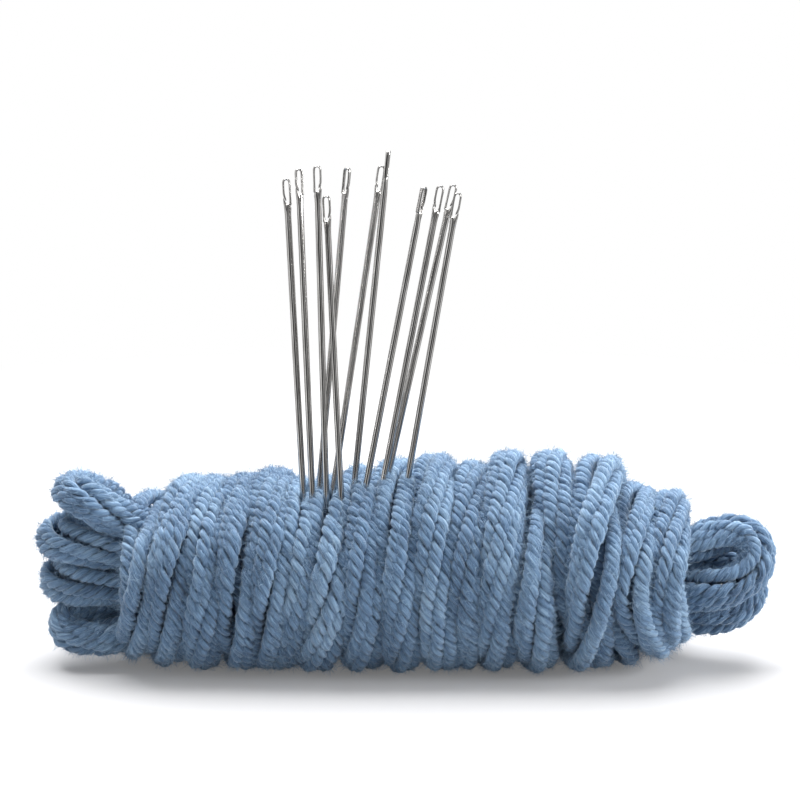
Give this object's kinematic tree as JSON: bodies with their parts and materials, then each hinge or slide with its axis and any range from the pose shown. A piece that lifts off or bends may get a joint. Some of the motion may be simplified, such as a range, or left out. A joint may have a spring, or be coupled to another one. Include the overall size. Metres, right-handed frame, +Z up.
{
  "type": "yarn needle",
  "caption": "Set of slim steel needles with side-threading eyes, standing in a wound hank of thick yarn.",
  "frame": {"origin": "middle of the hank's length and depth, on the plane that it rests on", "axes": "+X along the hank to the right as seen from the front, +Y away from the viewer, +Z up along the needles"},
  "size_m": [0.1082, 0.0302, 0.0783],
  "materials": {
    "needle_steel": "polished",
    "yarn": "soft matte wool-like yarn"
  },
  "bodies": {
    "hank": {"hank_loops": "yarn", "hank_winding": "yarn"},
    "needle_01": {"needle_01": "needle_steel"},
    "needle_02": {"needle_02": "needle_steel"},
    "needle_03": {"needle_03": "needle_steel"},
    "needle_04": {"needle_04": "needle_steel"},
    "needle_05": {"needle_05": "needle_steel"},
    "needle_06": {"needle_06": "needle_steel"},
    "needle_07": {"needle_07": "needle_steel"},
    "needle_08": {"needle_08": "needle_steel"},
    "needle_09": {"needle_09": "needle_steel"},
    "needle_10": {"needle_10": "needle_steel"},
    "needle_11": {"needle_11": "needle_steel"}
  },
  "joints": [
    {"name": "needle_01_slide", "type": "slide", "parent": "hank", "child": "needle_01", "axis": [-0.0478, 0.0806, 0.9956], "range_m": [0, 0.008]},
    {"name": "needle_02_slide", "type": "slide", "parent": "hank", "child": "needle_02", "axis": [-0.0363, 0.0821, 0.996], "range_m": [0, 0.007]},
    {"name": "needle_03_slide", "type": "slide", "parent": "hank", "child": "needle_03", "axis": [-0.0195, -0.0092, 0.9998], "range_m": [0, 0.007]},
    {"name": "needle_04_slide", "type": "slide", "parent": "hank", "child": "needle_04", "axis": [-0.044, 0.0282, 0.9986], "range_m": [0, 0.011]},
    {"name": "needle_05_slide", "type": "slide", "parent": "hank", "child": "needle_05", "axis": [0.0918, 0.0476, 0.9946], "range_m": [0, 0.006]},
    {"name": "needle_06_slide", "type": "slide", "parent": "hank", "child": "needle_06", "axis": [0.1506, 0.1128, 0.9821], "range_m": [0, 0.007]},
    {"name": "needle_07_slide", "type": "slide", "parent": "hank", "child": "needle_07", "axis": [0.1028, -0.0285, 0.9943], "range_m": [0, 0.005]},
    {"name": "needle_08_slide", "type": "slide", "parent": "hank", "child": "needle_08", "axis": [0.1898, 0.0259, 0.9815], "range_m": [0, 0.011]},
    {"name": "needle_09_slide", "type": "slide", "parent": "hank", "child": "needle_09", "axis": [0.1891, 0.0558, 0.9804], "range_m": [0, 0.012]},
    {"name": "needle_10_slide", "type": "slide", "parent": "hank", "child": "needle_10", "axis": [0.219, 0.0704, 0.9732], "range_m": [0, 0.012]},
    {"name": "needle_11_slide", "type": "slide", "parent": "hank", "child": "needle_11", "axis": [0.1699, 0.0255, 0.9851], "range_m": [0, 0.014]}
  ]
}
